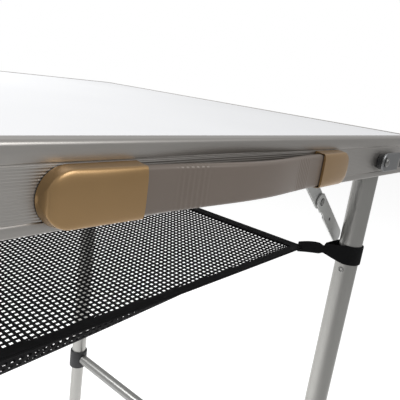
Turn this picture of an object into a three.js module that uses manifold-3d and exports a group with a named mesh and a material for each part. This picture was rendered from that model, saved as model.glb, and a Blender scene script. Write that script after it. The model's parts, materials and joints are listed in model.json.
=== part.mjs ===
// A folding table that closes into a flat case: two framed half tops on a middle hinge, telescopic legs that
// fold into the frames, two-link braces, a carrying handle, swing latches and a net shelf below the top.
// Millimetres. +X runs along the table, +Z is up, the near side is at -Y and the feet stand on Z = 0.

import * as THREE from "three";
import { mergeVertices } from "three/addons/utils/BufferGeometryUtils.js";
import Module from "manifold-3d";

const wasm = await Module();
wasm.setup();

// ---- Driving dimensions ----------------------------------------------------------------------------------

const TABLE_LENGTH = 1200;
const TABLE_WIDTH = 500;
const TABLE_HEIGHT = 700;
const FIT = 0.3; // the gap that pieces resting on each other keep
const SIDES = 24; // facets on a tube

// half tops
const MIDDLE_GAP = 0.8; // between the two closed half frames
const PANEL_THICKNESS = 4.5;
const PANEL_RECESS = 0.4; // how far the board lies below the top of the rail
const RAIL_HEIGHT = 35;
const RAIL_WALL = 1.6;
const LIP_WIDTH = 9; // the flat strip of rail around the board
const LIP_RADIUS = 2.5;
const TOP_LIP = 8.5; // smooth band above the ribs
const BOTTOM_LIP = 5; // smooth band below the ribs
const RIB_COUNT = 15;
const RIB_DEPTH = 0.7;
const RIB_RECESS = 0.3; // how far the rib crests lie behind the lips
const LEDGE_REACH = 13; // shelf under the board, from the outer face
const FLANGE_REACH = 14; // bottom flange, from the outer face
const CORNER_SIZE = 14;
const CORNER_RADIUS = 9;

// middle hinges
const HINGE_DROP = RAIL_HEIGHT + 3; // the fold axis below the table top
const HINGE_BARREL = 2.5;
const HINGE_PIN = 1.3;
const HINGE_LEAF = 1.5;
const HINGE_LENGTH = 60;
const HINGE_REACH = 13; // leaf, from the fold axis
const HINGE_FROM_EDGE = 100; // hinge middle, from the long edge

// legs
const LEG_FROM_END = 40.5;
const LEG_RADIUS = 11.75;
const LEG_GAP = 2.65; // between a leg and its bracket's outer wall
const TUBE_WALL = 1.2;
const PIVOT_DROP = 20.5; // leg pivot below the table top
const LEG_OVER_PIVOT = 5; // tube above its pivot
const PIVOT_PIN = 4;
const OUTER_TUBE_END = 474; // from the pivot
const INNER_TUBE_START = 390; // from the pivot, at full height
const COLLAR_RADIUS = LEG_RADIUS + 2.75;
const COLLAR_LENGTH = 31;
const COLLAR_OVERHANG = 5; // collar past the end of the outer tube
const FOOT_RADIUS = LEG_RADIUS + 1.75;
const FOOT_HEIGHT = 36;
const FOOT_SOLE = 8;
const CROSSBAR_RADIUS = 8;
const CROSSBAR_AT = 462; // from the pivot

// braces: an upper link from the bracket and a lower link from the leg, in a straight line when open
const BRACE_FROM_PIVOT = 111; // along the table, to the upper link's pin
const BRACE_DOWN_LEG = 91; // down the leg, to the lower link's pin
const BRACE_HALF_WIDTH = 8;
const BRACE_THICKNESS = 2;
const BRACE_PIN = 2.5;
const LINK_CLEARANCE = 0.6; // between the two links
const STANDOFF = 6.5; // leg to lower link
const STANDOFF_RADIUS = 3.5;

// brackets under the board
const BRACKET_WALL = 1.6;
const BRACKET_DEPTH = 10; // below the pivot
const BRACKET_HEAD = 13; // each side of the leg pivot
const BRACKET_TAIL = 12; // past the brace pin
const BRACKET_STRIP = 9.5; // top strip along the brace

// webbing loops and net
const WEBBING_THICKNESS = 2;
const WEBBING_WIDTH = 20;
const WEBBING_DOWN_LEG = 97; // top edge, from the pivot
const NET_HALF_LENGTH = 528;
const NET_HALF_WIDTH = 184;
const NET_DROP = 128; // corners below the table top
const NET_RIM_SAG = 4; // of the long rims, halfway along
const NET_SAG = 35; // of the middle, below the rims
const NET_THICKNESS = 2;
const NET_MIDDLE_GAP = 2;

// handle
const HANDLE_AT = 301; // handle middle, from the fold axis
const HANDLE_LENGTH = 250;
const HANDLE_DROP = 21.3; // its middle line below the table top
const CAP_LENGTH = 45.5;
const CAP_HEIGHT = 23.5;
const CAP_REACH = 8.5; // outwards from the rail
const CAP_TIP = 4.5; // outwards at its rounded end
const GRIP_HEIGHT = 22; // where it meets the caps
const GRIP_WAIST = 18.5; // height at its middle
const GRIP_THICKNESS = 5.4;
const GRIP_SEAT = 18; // length of the tongue inside a cap
const GRIP_TONGUE = 15; // height of that tongue
const GRIP_FACE = 6.6; // outer face where it enters a cap, from the rail
const GRIP_BOW = 8.6;

// latches
const LATCH_FROM_END = 96.5;
const LATCH_DROP = 21;
const STRAP_HALF_WIDTH = 8;
const STRAP_THICKNESS = 1.5;
const STRAP_STANDOFF = 4.5; // rail to the back of the strap
const STRAP_TAIL = 9; // past the stud
const STUD_NECK = 2.5;
const POST_RADIUS = 6.5;
const HEAD_RADIUS = 3.6;
const HEAD_THICKNESS = 1.2;

// ---- Derived places --------------------------------------------------------------------------------------

const HALF_LENGTH = TABLE_LENGTH / 2;
const HALF_WIDTH = TABLE_WIDTH / 2;
const LEDGE_TOP = -(PANEL_RECESS + PANEL_THICKNESS + FIT); // everything in a half is measured from its top
const LEG_X = HALF_LENGTH - LEG_FROM_END;
const LEG_Y = HALF_WIDTH - FLANGE_REACH - BRACKET_WALL - LEG_GAP - LEG_RADIUS;
const LEG_LENGTH = TABLE_HEIGHT - PIVOT_DROP;
const INNER_RADIUS = LEG_RADIUS - TUBE_WALL - FIT;
const LINK_LOW = LEG_Y - LEG_RADIUS - STANDOFF; // outer face of the lower link, from the middle plane
const LINK_HIGH = LINK_LOW - BRACE_THICKNESS - LINK_CLEARANCE;
const BRACKET_INNER = LINK_HIGH - BRACE_THICKNESS - LINK_CLEARANCE;
const STAY_LENGTH = Math.hypot(BRACE_FROM_PIVOT, BRACE_DOWN_LEG);
// the two links fold onto each other
const UPPER_LINK = (STAY_LENGTH + BRACE_FROM_PIVOT - BRACE_DOWN_LEG) / 2;
const LATCH_X = HALF_LENGTH - LATCH_FROM_END;
const LATCH_SPAN = 2 * (HINGE_DROP - LATCH_DROP); // pivot to stud when the case is shut
const LATCH_REACH = STRAP_STANDOFF + STRAP_THICKNESS + FIT + HEAD_THICKNESS;
const GRIP_HALF = HANDLE_LENGTH / 2 - CAP_LENGTH; // half of the grip between the caps
const HANDLE_REACH = GRIP_FACE + GRIP_BOW;

// ---- Materials -------------------------------------------------------------------------------------------

function finish(color, roughness, metalness) {
  return () => new THREE.MeshStandardMaterial({ color, roughness, metalness });
}

const board = finish(0xe6e7ea, 0.35, 0);
const aluminium = finish(0xb9babd, 0.4, 0.9);
const steel = finish(0x9a9ca0, 0.35, 0.9);
const capPlastic = finish(0xb49468, 0.4, 0);
const gripPlastic = finish(0x7a7268, 0.5, 0);
const blackPlastic = finish(0x1b1b1c, 0.6, 0);
const webbing = finish(0x141414, 0.9, 0);

// ---- Outlines --------------------------------------------------------------------------------------------

const point = (x, y) => new THREE.Vector2(x, y);

// Points along an arc, from one angle to another.
function arc(x, y, radius, from, to, steps) {
  return Array.from({ length: steps + 1 }, (_, i) => {
    const angle = from + ((to - from) * i) / steps;
    return point(x + radius * Math.cos(angle), y + radius * Math.sin(angle));
  });
}

const circle = (x, y, radius, steps = SIDES) => arc(x, y, radius, 0, 2 * Math.PI, steps).slice(0, steps);

const rectangle = (left, right, low, high) => [
  point(left, low), point(right, low), point(right, high), point(left, high),
];

// A bar with round ends between two points.
function roundBar(a, b, radius, steps = 8) {
  const angle = Math.atan2(b.y - a.y, b.x - a.x);
  const quarter = Math.PI / 2;
  return [
    ...arc(a.x, a.y, radius, angle + quarter, angle + 3 * quarter, steps),
    ...arc(b.x, b.y, radius, angle - quarter, angle + quarter, steps),
  ];
}

// ---- Solids ----------------------------------------------------------------------------------------------

const X = new THREE.Vector3(1, 0, 0);
const Y = new THREE.Vector3(0, 1, 0);
const Z = new THREE.Vector3(0, 0, 1);

function extrude(outline, holes, depth, across, up, start) {
  const shape = new THREE.Shape(outline);
  shape.holes = holes.map((hole) => new THREE.Path(hole));
  const geometry = new THREE.ExtrudeGeometry(shape, { depth, bevelEnabled: false });
  const along = new THREE.Vector3().crossVectors(across, up);
  return geometry.applyMatrix4(new THREE.Matrix4().makeBasis(across, up, along).setPosition(start));
}

// An outline in x and z, standing between two y places.
const plateXZ = (outline, lowY, highY, holes = []) =>
  extrude(outline, holes, highY - lowY, X, Z, new THREE.Vector3(0, highY, 0));

// An outline in x and y, standing between two z places.
const plateXY = (outline, lowZ, highZ, holes = []) =>
  extrude(outline, holes, highZ - lowZ, X, Y, new THREE.Vector3(0, 0, lowZ));

const box = (x0, x1, y0, y1, z0, z1) => plateXY(rectangle(x0, x1, y0, y1), z0, z1);

function toSolid(geometry) {
  const bare = geometry.clone();
  bare.deleteAttribute("normal");
  bare.deleteAttribute("uv");
  const merged = mergeVertices(bare, 1e-4);
  const vertProperties = new Float32Array(merged.attributes.position.array);
  const triVerts = new Uint32Array(merged.index.array);
  return new wasm.Manifold(new wasm.Mesh({ numProp: 3, vertProperties, triVerts }));
}

function toGeometry(solid) {
  const mesh = solid.getMesh();
  const geometry = new THREE.BufferGeometry();
  geometry.setAttribute("position", new THREE.BufferAttribute(new Float32Array(mesh.vertProperties), 3));
  geometry.setIndex(new THREE.BufferAttribute(new Uint32Array(mesh.triVerts), 1));
  return geometry;
}

const join = (...pieces) => toGeometry(pieces.map(toSolid).reduce((whole, piece) => whole.add(piece)));
const cut = (piece, ...tools) =>
  toGeometry(tools.map(toSolid).reduce((rest, tool) => rest.subtract(tool), toSolid(piece)));
const common = (a, b) => toGeometry(toSolid(a).intersect(toSolid(b)));

function addMesh(group, name, geometry, material) {
  const mesh = new THREE.Mesh(geometry, material());
  mesh.name = name;
  group.add(mesh);
  return mesh;
}

function addGroup(parent, x, y, z) {
  const group = new THREE.Group();
  group.position.set(x, y, z);
  parent.add(group);
  return group;
}

// ---- Half frame: rails, corners, board -------------------------------------------------------------------

// The rail's section: x inwards from the outer face, y up from the table top.
function railOutline() {
  const ribTop = -TOP_LIP;
  const ribPitch = (RAIL_HEIGHT - TOP_LIP - BOTTOM_LIP) / RIB_COUNT;
  const crest = RIB_RECESS;
  const valley = RIB_RECESS + RIB_DEPTH;
  const ribs = Array.from({ length: RIB_COUNT }, (_, i) => {
    const top = ribTop - i * ribPitch;
    return [
      point(valley, top - 0.1 * ribPitch), point(crest, top - 0.4 * ribPitch),
      point(crest, top - 0.6 * ribPitch), point(valley, top - 0.9 * ribPitch),
    ];
  }).flat();
  const inner = valley + RAIL_WALL;
  return [
    ...arc(LIP_RADIUS, -LIP_RADIUS, LIP_RADIUS, Math.PI / 2, Math.PI, 4),
    point(0, ribTop), ...ribs, point(0, -RAIL_HEIGHT + BOTTOM_LIP), point(0, -RAIL_HEIGHT),
    point(FLANGE_REACH, -RAIL_HEIGHT), point(FLANGE_REACH, -RAIL_HEIGHT + RAIL_WALL),
    point(inner, -RAIL_HEIGHT + RAIL_WALL), point(inner, LEDGE_TOP - RAIL_WALL),
    point(LEDGE_REACH, LEDGE_TOP - RAIL_WALL), point(LEDGE_REACH, LEDGE_TOP),
    point(LIP_WIDTH, LEDGE_TOP), point(LIP_WIDTH, 0),
  ];
}

// A rail of the section above, centred on a place at the top of its outer face.
function rail(inwards, length, x, y) {
  const along = new THREE.Vector3().crossVectors(inwards, Z);
  const start = new THREE.Vector3(x, y, 0).addScaledVector(along, -length / 2);
  return extrude(railOutline(), [], length, inwards, Z, start);
}

// An L-shaped corner post with a rounded outer corner, for the corner at (x, y) turned outwards.
function cornerPost(sideX, sideY) {
  const outer = arc(-CORNER_RADIUS, -CORNER_RADIUS, CORNER_RADIUS, 0, Math.PI / 2, 8);
  const outline = [
    point(0, -CORNER_SIZE), ...outer, point(-CORNER_SIZE, 0), point(-CORNER_SIZE, -LIP_WIDTH),
    point(-LIP_WIDTH, -LIP_WIDTH), point(-LIP_WIDTH, -CORNER_SIZE),
  ];
  const placed = outline.map((p) => point(sideX * (HALF_LENGTH + p.x), sideY * (HALF_WIDTH + p.y)));
  return plateXY(placed, -RAIL_HEIGHT, 0);
}

function addHalfFrame(half, side, label) {
  const start = MIDDLE_GAP / 2;
  const end = HALF_LENGTH - CORNER_SIZE - FIT;
  const middle = (side * (start + end)) / 2;
  const outwards = X.clone().multiplyScalar(side);
  const inwards = outwards.clone().negate();
  const crossLength = TABLE_WIDTH - 2 * (CORNER_SIZE + FIT);
  addMesh(half, `rail_${label}_near`, rail(Y, end - start, middle, -HALF_WIDTH), aluminium);
  addMesh(half, `rail_${label}_far`, rail(Y.clone().negate(), end - start, middle, HALF_WIDTH), aluminium);
  addMesh(half, `rail_${label}_end`, rail(inwards, crossLength, side * HALF_LENGTH, 0), aluminium);
  addMesh(half, `rail_${label}_middle`, rail(outwards, crossLength, side * start, 0), aluminium);
  addMesh(half, `corner_${label}_near`, cornerPost(side, -1), aluminium);
  addMesh(half, `corner_${label}_far`, cornerPost(side, 1), aluminium);
  const edge = LIP_WIDTH + FIT;
  const [low, high] = [start + edge, HALF_LENGTH - edge].map((x) => side * x).sort((a, b) => a - b);
  const outerY = HALF_WIDTH - edge;
  const boardTop = -PANEL_RECESS;
  const panel = box(low, high, -outerY, outerY, boardTop - PANEL_THICKNESS, boardTop);
  addMesh(half, `panel_${label}`, panel, board);
}

// ---- Middle hinges ---------------------------------------------------------------------------------------

// A leaf under the middle rail. The right leaf holds the pin and the two outer knuckles, the left the middle.
function hingeLeaf(side, y) {
  const leafTop = -RAIL_HEIGHT - FIT;
  const knuckle = HINGE_LENGTH / 3;
  const spans = side > 0 ? [-1, 1] : [0];
  const clear = HINGE_BARREL + 0.4;
  const [near, far] = [side * clear, side * HINGE_REACH].sort((a, b) => a - b);
  const plate = box(near, far, y - HINGE_LENGTH / 2, y + HINGE_LENGTH / 2, leafTop - HINGE_LEAF, leafTop);
  const barrels = spans.flatMap((n) => {
    const low = y + n * knuckle - knuckle / 2 + FIT;
    const high = y + n * knuckle + knuckle / 2 - FIT;
    const [x0, x1] = [0, side * (clear + 1)].sort((a, b) => a - b);
    return [
      plateXZ(circle(0, -HINGE_DROP, HINGE_BARREL), low, high),
      box(x0, x1, low, high, leafTop - HINGE_LEAF, leafTop - FIT),
    ];
  });
  const body = join(plate, ...barrels);
  const inset = HINGE_LENGTH / 2 - 1;
  if (side > 0) return join(body, plateXZ(circle(0, -HINGE_DROP, HINGE_PIN, 12), y - inset, y + inset));
  return cut(body, plateXZ(circle(0, -HINGE_DROP, HINGE_PIN + FIT, 16), y - knuckle, y + knuckle));
}

// ---- Brackets, legs and braces ---------------------------------------------------------------------------

// Holds a leg's pivot pin between two walls, and runs on along the frame to the brace's upper pin.
function legBracket(side, sideY) {
  const top = LEDGE_TOP;
  const outerWall = HALF_WIDTH - FLANGE_REACH - 0.5;
  const innerWall = BRACKET_INNER;
  const tail = LEG_X - BRACE_FROM_PIVOT - BRACKET_TAIL;
  const low = -PIVOT_DROP - BRACKET_DEPTH;
  const part = (x0, x1, y0, y1, z0, z1) => {
    const [left, right] = [side * x0, side * x1].sort((a, b) => a - b);
    const [front, back] = [sideY * y0, sideY * y1].sort((a, b) => a - b);
    return box(left, right, front, back, z0, z1);
  };
  const pin = (x, radius, y0, y1) => {
    const [front, back] = [sideY * y0, sideY * y1].sort((a, b) => a - b);
    return plateXZ(circle(side * x, -PIVOT_DROP, radius, 16), front, back);
  };
  const headLow = LEG_X - BRACKET_HEAD;
  const headHigh = LEG_X + BRACKET_HEAD;
  return join(
    part(headLow, headHigh, innerWall - BRACKET_WALL, outerWall, top - BRACKET_WALL, top),
    part(tail, headHigh, innerWall - BRACKET_WALL, innerWall + BRACKET_STRIP, top - BRACKET_WALL, top),
    part(tail, headHigh, innerWall - BRACKET_WALL, innerWall, low, top),
    part(headLow, headHigh, outerWall - BRACKET_WALL, outerWall, low, top),
    pin(LEG_X, PIVOT_PIN, innerWall - BRACKET_WALL, outerWall),
    pin(LEG_X - BRACE_FROM_PIVOT, BRACE_PIN, innerWall - BRACKET_WALL, LINK_HIGH + FIT),
  );
}

// The upper leg tube with its pivot hole, its brace pin and the collar that the inner tube runs in.
// Measured from the leg pivot, z up.
function outerTube(sideY) {
  const y = sideY * LEG_Y;
  const reach = LEG_RADIUS + 1;
  const bore = circle(0, y, INNER_RADIUS + FIT);
  const ring = (radius, top, low) => plateXY(circle(0, y, radius), low, top, [bore]);
  const tube = ring(LEG_RADIUS, LEG_OVER_PIVOT, -OUTER_TUBE_END);
  const collarLow = -OUTER_TUBE_END - COLLAR_OVERHANG;
  const collar = ring(COLLAR_RADIUS, collarLow + COLLAR_LENGTH, collarLow);
  const stub = (radius, from, to) => {
    const [front, back] = [sideY * from, sideY * to].sort((a, b) => a - b);
    return plateXZ(circle(0, -BRACE_DOWN_LEG, radius, 16), front, back);
  };
  const wall = LEG_Y - LEG_RADIUS + TUBE_WALL;
  const body = join(tube, collar,
    stub(STANDOFF_RADIUS, LINK_LOW + FIT, wall), stub(BRACE_PIN, LINK_HIGH + LINK_CLEARANCE / 2, wall));
  return cut(body, plateXZ(circle(0, 0, PIVOT_PIN + FIT, 16), y - reach, y + reach));
}

function innerTube(sideY) {
  const y = sideY * LEG_Y;
  const low = -LEG_LENGTH + FOOT_SOLE + FIT;
  const bore = circle(0, y, INNER_RADIUS - TUBE_WALL);
  return plateXY(circle(0, y, INNER_RADIUS), low, -INNER_TUBE_START, [bore]);
}

function foot(sideY) {
  const y = sideY * LEG_Y;
  const cup = plateXY(circle(0, y, FOOT_RADIUS), -LEG_LENGTH, -LEG_LENGTH + FOOT_HEIGHT);
  const low = -LEG_LENGTH + FOOT_SOLE;
  return cut(cup, plateXY(circle(0, y, INNER_RADIUS + FIT), low, -LEG_LENGTH + FOOT_HEIGHT + 1));
}

function crossbar() {
  const reach = LEG_Y - COLLAR_RADIUS - FIT;
  const hole = circle(0, -CROSSBAR_AT, CROSSBAR_RADIUS - TUBE_WALL);
  return plateXZ(circle(0, -CROSSBAR_AT, CROSSBAR_RADIUS), -reach, reach, [hole]);
}

function webbingLoop(sideY) {
  const y = sideY * LEG_Y;
  const radius = LEG_RADIUS + FIT;
  const top = -WEBBING_DOWN_LEG;
  return plateXY(circle(0, y, radius + WEBBING_THICKNESS), top - WEBBING_WIDTH, top, [circle(0, y, radius)]);
}

// A flat link between two pins. A pin on the leg or the bracket turns in its one hole.
function braceLink(from, to, holeAt, faceY, sideY) {
  const [front, back] = [sideY * faceY, sideY * (faceY - BRACE_THICKNESS)].sort((a, b) => a - b);
  const hole = circle(holeAt.x, holeAt.y, BRACE_PIN + FIT, 16);
  return plateXZ(roundBar(from, to, BRACE_HALF_WIDTH), front, back, [hole]);
}

function addLegs(half, side, label) {
  const legs = addGroup(half, side * LEG_X, 0, -PIVOT_DROP);
  const upperPin = point(-side * BRACE_FROM_PIVOT, 0);
  const lowerPin = point(0, -BRACE_DOWN_LEG);
  const joint = upperPin.clone().lerp(lowerPin, UPPER_LINK / STAY_LENGTH);
  for (const [place, sideY] of [["near", -1], ["far", 1]]) {
    const name = `${label}_${place}`;
    addMesh(half, `leg_bracket_${name}`, legBracket(side, sideY), steel);
    addMesh(legs, `leg_tube_${name}`, outerTube(sideY), aluminium);
    addMesh(legs, `leg_extension_${name}`, innerTube(sideY), aluminium);
    addMesh(legs, `foot_${name}`, foot(sideY), blackPlastic);
    addMesh(legs, `webbing_loop_${name}`, webbingLoop(sideY), webbing);
    addMesh(legs, `brace_upper_${name}`, braceLink(upperPin, joint, upperPin, LINK_HIGH, sideY), aluminium);
    addMesh(legs, `brace_lower_${name}`, braceLink(joint, lowerPin, lowerPin, LINK_LOW, sideY), aluminium);
  }
  addMesh(legs, `crossbar_${label}`, crossbar(), aluminium);
}

// ---- Net shelf -------------------------------------------------------------------------------------------

// Half of a slung net: a thin sheet that sags between its four corners. Each cell corner gives one point
// above and one below, and the sheet's rim closes it.
function net(side) {
  const [across, along] = [16, 10];
  const positions = [];
  const index = [];
  const belly = (y) => NET_RIM_SAG + NET_SAG * (1 - (y / NET_HALF_WIDTH) ** 8);
  const drop = (x, y) => belly(y) * (1 - (x / NET_HALF_LENGTH) ** 2);
  for (let level = 0; level < 2; level += 1) {
    for (let i = 0; i <= along; i += 1) {
      for (let j = 0; j <= across; j += 1) {
        const x = NET_MIDDLE_GAP / 2 + ((NET_HALF_LENGTH - NET_MIDDLE_GAP / 2) * i) / along;
        const y = NET_HALF_WIDTH * ((2 * j) / across - 1);
        positions.push(side * x, y, -NET_DROP - drop(x, y) - level * NET_THICKNESS);
      }
    }
  }
  const layer = (along + 1) * (across + 1);
  const at = (i, j, level) => level * layer + i * (across + 1) + j;
  const quad = (a, b, c, d) => index.push(...(side > 0 ? [a, b, c, a, c, d] : [a, c, b, a, d, c]));
  for (let i = 0; i < along; i += 1) {
    for (let j = 0; j < across; j += 1) {
      quad(at(i, j, 0), at(i + 1, j, 0), at(i + 1, j + 1, 0), at(i, j + 1, 0));
      quad(at(i, j, 1), at(i, j + 1, 1), at(i + 1, j + 1, 1), at(i + 1, j, 1));
    }
    quad(at(i, 0, 1), at(i + 1, 0, 1), at(i + 1, 0, 0), at(i, 0, 0));
    quad(at(i, across, 0), at(i + 1, across, 0), at(i + 1, across, 1), at(i, across, 1));
  }
  for (let j = 0; j < across; j += 1) {
    quad(at(0, j, 1), at(0, j, 0), at(0, j + 1, 0), at(0, j + 1, 1));
    quad(at(along, j, 0), at(along, j, 1), at(along, j + 1, 1), at(along, j + 1, 0));
  }
  const geometry = new THREE.BufferGeometry();
  geometry.setAttribute("position", new THREE.Float32BufferAttribute(positions, 3));
  geometry.setIndex(index);
  return geometry;
}

// ---- Handle ----------------------------------------------------------------------------------------------

// An end cap, measured from the handle's middle: a shell whose face rises from its rounded tip to its mouth,
// with a pocket for the tongue of the grip. Outwards is -y.
function handleCap(side) {
  const tip = HANDLE_LENGTH / 2;
  const mouth = tip - CAP_LENGTH;
  const rise = Array.from({ length: 9 }, (_, i) => {
    const t = i / 8;
    const reach = CAP_TIP + (CAP_REACH - CAP_TIP) * Math.sin((t * Math.PI) / 2);
    return point(side * (tip - CAP_LENGTH * t), -reach);
  });
  const plan = [point(side * mouth, -FIT), point(side * tip, -FIT), ...rise];
  const radius = CAP_HEIGHT / 2;
  const front = roundBar(point(side * (mouth - radius), 0), point(side * (tip - radius), 0), radius, 12);
  const blank = common(plateXY(plan, -radius, radius), plateXZ(front, -CAP_REACH - 1, 0));
  const [x0, x1] = [mouth - 1, mouth + GRIP_SEAT + FIT].map((x) => side * x).sort((a, b) => a - b);
  const pocket = GRIP_TONGUE / 2 + FIT;
  return cut(blank, box(x0, x1, -GRIP_FACE - FIT, -GRIP_FACE + GRIP_THICKNESS + FIT, -pocket, pocket));
}

// The grip: a band that bows outwards between the caps, narrows towards its middle and ends in a tongue in
// each cap.
function handleGrip() {
  const steps = 16;
  const end = GRIP_HALF + GRIP_SEAT;
  const swell = (t) => (1 + Math.cos(Math.PI * t)) / 2;
  const along = Array.from({ length: steps + 1 }, (_, i) => (2 * i) / steps - 1);
  const face = (shift) => along.map((t) => point(GRIP_HALF * t, -GRIP_FACE - GRIP_BOW * swell(t) + shift));
  const plan = [
    point(-end, -GRIP_FACE), ...face(0), point(end, -GRIP_FACE),
    point(end, -GRIP_FACE + GRIP_THICKNESS), ...face(GRIP_THICKNESS).reverse(),
    point(-end, -GRIP_FACE + GRIP_THICKNESS),
  ];
  const shoulder = GRIP_HALF - FIT;
  const tongue = GRIP_TONGUE / 2;
  const waist = (t) => (GRIP_HEIGHT - (GRIP_HEIGHT - GRIP_WAIST) * swell(t)) / 2;
  const edge = along.map((t) => point(shoulder * t, waist(t)));
  const lower = edge.map((p) => point(p.x, -p.y)).reverse();
  const front = [
    point(-end, tongue), point(-shoulder, tongue), ...edge, point(shoulder, tongue), point(end, tongue),
    point(end, -tongue), point(shoulder, -tongue), ...lower, point(-shoulder, -tongue), point(-end, -tongue),
  ];
  return common(plateXY(plan, -GRIP_HEIGHT, GRIP_HEIGHT), plateXZ(front, -HANDLE_REACH - 1, 0));
}

// ---- Latches ---------------------------------------------------------------------------------------------

// A round post on the rail at (x, z): a thick spacer, a neck and a flat head. sideY is the rail's side.
function latchPost(x, z, sideY) {
  const stage = (radius, from, to) => {
    const [front, back] = [sideY * (HALF_WIDTH + from), sideY * (HALF_WIDTH + to)].sort((a, b) => a - b);
    return plateXZ(circle(x, z, radius, 16), front, back);
  };
  const strapBack = STRAP_STANDOFF - FIT;
  const strapFront = STRAP_STANDOFF + STRAP_THICKNESS + FIT;
  return join(stage(POST_RADIUS, FIT, strapBack), stage(STUD_NECK, FIT, strapFront + HEAD_THICKNESS),
    stage(HEAD_RADIUS, strapFront, strapFront + HEAD_THICKNESS));
}

// The swinging strap, with a hole for its pivot and an open notch that takes the stud, measured from the
// pivot.
function latchStrap(sideY) {
  const w = STRAP_HALF_WIDTH;
  const end = LATCH_SPAN + STRAP_TAIL - w;
  const slot = STUD_NECK + 1;
  const quarter = Math.PI / 2;
  const outline = [
    ...arc(0, 0, w, quarter, 3 * quarter, 10),
    point(LATCH_SPAN - slot, -w), point(LATCH_SPAN - slot, slot - 1), point(LATCH_SPAN - slot + 1, slot),
    point(LATCH_SPAN + slot - 1, slot), point(LATCH_SPAN + slot, slot - 1), point(LATCH_SPAN + slot, -w),
    ...arc(end, 0, w, -quarter, quarter, 10).filter((p) => p.x > LATCH_SPAN + slot + 0.5 || p.y > 0),
  ];
  const back = HALF_WIDTH + STRAP_STANDOFF;
  const [low, high] = [sideY * back, sideY * (back + STRAP_THICKNESS)].sort((a, b) => a - b);
  return plateXZ(outline, low, high, [circle(0, 0, STUD_NECK + FIT, 16)]);
}

// ---- Assembly --------------------------------------------------------------------------------------------

const table = new THREE.Group();
// The handle reaches further out than the far latch, so the top is set back by half the difference.
const top = addGroup(table, 0, (HANDLE_REACH - LATCH_REACH) / 2, TABLE_HEIGHT);

for (const [label, side] of [["right", 1], ["left", -1]]) {
  const half = addGroup(top, 0, 0, 0);
  addHalfFrame(half, side, label);
  addLegs(half, side, label);
  addMesh(half, `net_${label}`, net(side), webbing);
  for (const [place, sideY] of [["near", -1], ["far", 1]]) {
    const hingeY = sideY * (HALF_WIDTH - HINGE_FROM_EDGE);
    addMesh(half, `hinge_leaf_${label}_${place}`, hingeLeaf(side, hingeY), steel);
    const postName = side > 0 ? `latch_pivot_${place}` : `latch_stud_${place}`;
    addMesh(half, postName, latchPost(side * LATCH_X, -LATCH_DROP, sideY), blackPlastic);
  }
}

const handle = addGroup(top, HANDLE_AT, -HALF_WIDTH, -HANDLE_DROP);
addMesh(handle, "handle_cap_inner", handleCap(-1), capPlastic);
addMesh(handle, "handle_cap_outer", handleCap(1), capPlastic);
addMesh(handle, "handle_grip", handleGrip(), gripPlastic);

for (const [place, sideY] of [["near", -1], ["far", 1]]) {
  const pivot = addGroup(top, LATCH_X, 0, -LATCH_DROP);
  addMesh(pivot, `latch_strap_${place}`, latchStrap(sideY), steel);
}

export default table;
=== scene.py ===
# %% [markdown]
# A folding camping table in Blender.
#
# The real table is a flat case that opens: two framed half tops on a middle hinge, telescopic legs that fold
# into the frames, a carrying handle, two swing latches and a net shelf slung between the legs. The packed
# model already holds the frame, in metres, and every new piece here is placed from its boxes and joints.

# %% Load the frame
import json
from math import cos, pi, radians, sin

import bmesh
import bpy
import numpy as np
from mathutils import Euler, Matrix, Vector


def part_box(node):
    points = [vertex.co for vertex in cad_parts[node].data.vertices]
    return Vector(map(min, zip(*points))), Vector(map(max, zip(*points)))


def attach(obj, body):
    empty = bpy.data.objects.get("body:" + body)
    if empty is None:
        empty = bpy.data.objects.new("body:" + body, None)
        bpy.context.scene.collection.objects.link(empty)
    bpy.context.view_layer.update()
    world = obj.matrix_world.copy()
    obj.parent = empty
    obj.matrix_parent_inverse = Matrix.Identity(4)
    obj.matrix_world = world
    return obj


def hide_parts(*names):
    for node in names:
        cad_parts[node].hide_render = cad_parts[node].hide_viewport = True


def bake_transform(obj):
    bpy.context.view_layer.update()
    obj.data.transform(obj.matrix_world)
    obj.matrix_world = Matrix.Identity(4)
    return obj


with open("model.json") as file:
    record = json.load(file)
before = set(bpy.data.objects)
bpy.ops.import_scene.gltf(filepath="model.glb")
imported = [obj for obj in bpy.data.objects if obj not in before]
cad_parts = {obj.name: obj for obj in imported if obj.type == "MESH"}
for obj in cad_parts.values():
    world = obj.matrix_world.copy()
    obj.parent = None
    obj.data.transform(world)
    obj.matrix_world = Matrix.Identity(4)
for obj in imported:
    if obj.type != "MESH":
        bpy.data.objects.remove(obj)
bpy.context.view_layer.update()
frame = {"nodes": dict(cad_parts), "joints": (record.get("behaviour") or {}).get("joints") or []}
MM = 0.001
TURN = 2 * pi
SIDES = (("right", 1), ("left", -1))
PLACES = (("near", -1), ("far", 1))

# %% [markdown]
# Every place comes from the frame: a rail's box gives its outer face and the table top, a foot's box the
# middle of its leg, and a joint the point that something turns about.


# %% Places from the frame
def joint_place(name):
    """The point that a joint turns about, at rest."""
    return Vector(next(j["pos_m"] for j in frame["joints"] if j["name"] == name))


def middle(node):
    """The middle of a node's box."""
    low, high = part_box(node)
    return (low + high) / 2


END_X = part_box("corner_right_near")[1].x
TOP_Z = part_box("rail_right_near")[1].z
NEAR_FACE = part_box("rail_right_near")[0].y
FAR_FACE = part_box("rail_right_far")[1].y
MIDDLE_Y = (NEAR_FACE + FAR_FACE) / 2
HALF_WIDTH = (FAR_FACE - NEAR_FACE) / 2
LEG_X = middle("foot_right_near").x
LEG_OUT = MIDDLE_Y - middle("foot_right_near").y
PIVOT_Z = joint_place("legs_right_fold").z
print("half width", round(HALF_WIDTH, 4), "legs at", round(LEG_X, 4), round(LEG_OUT, 4), round(PIVOT_Z, 4))

# %% [markdown]
# The camera stands close to the near side, a little above the top, and looks along the table towards its
# far left. It is rolled slightly, as a hand-held camera is.

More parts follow.
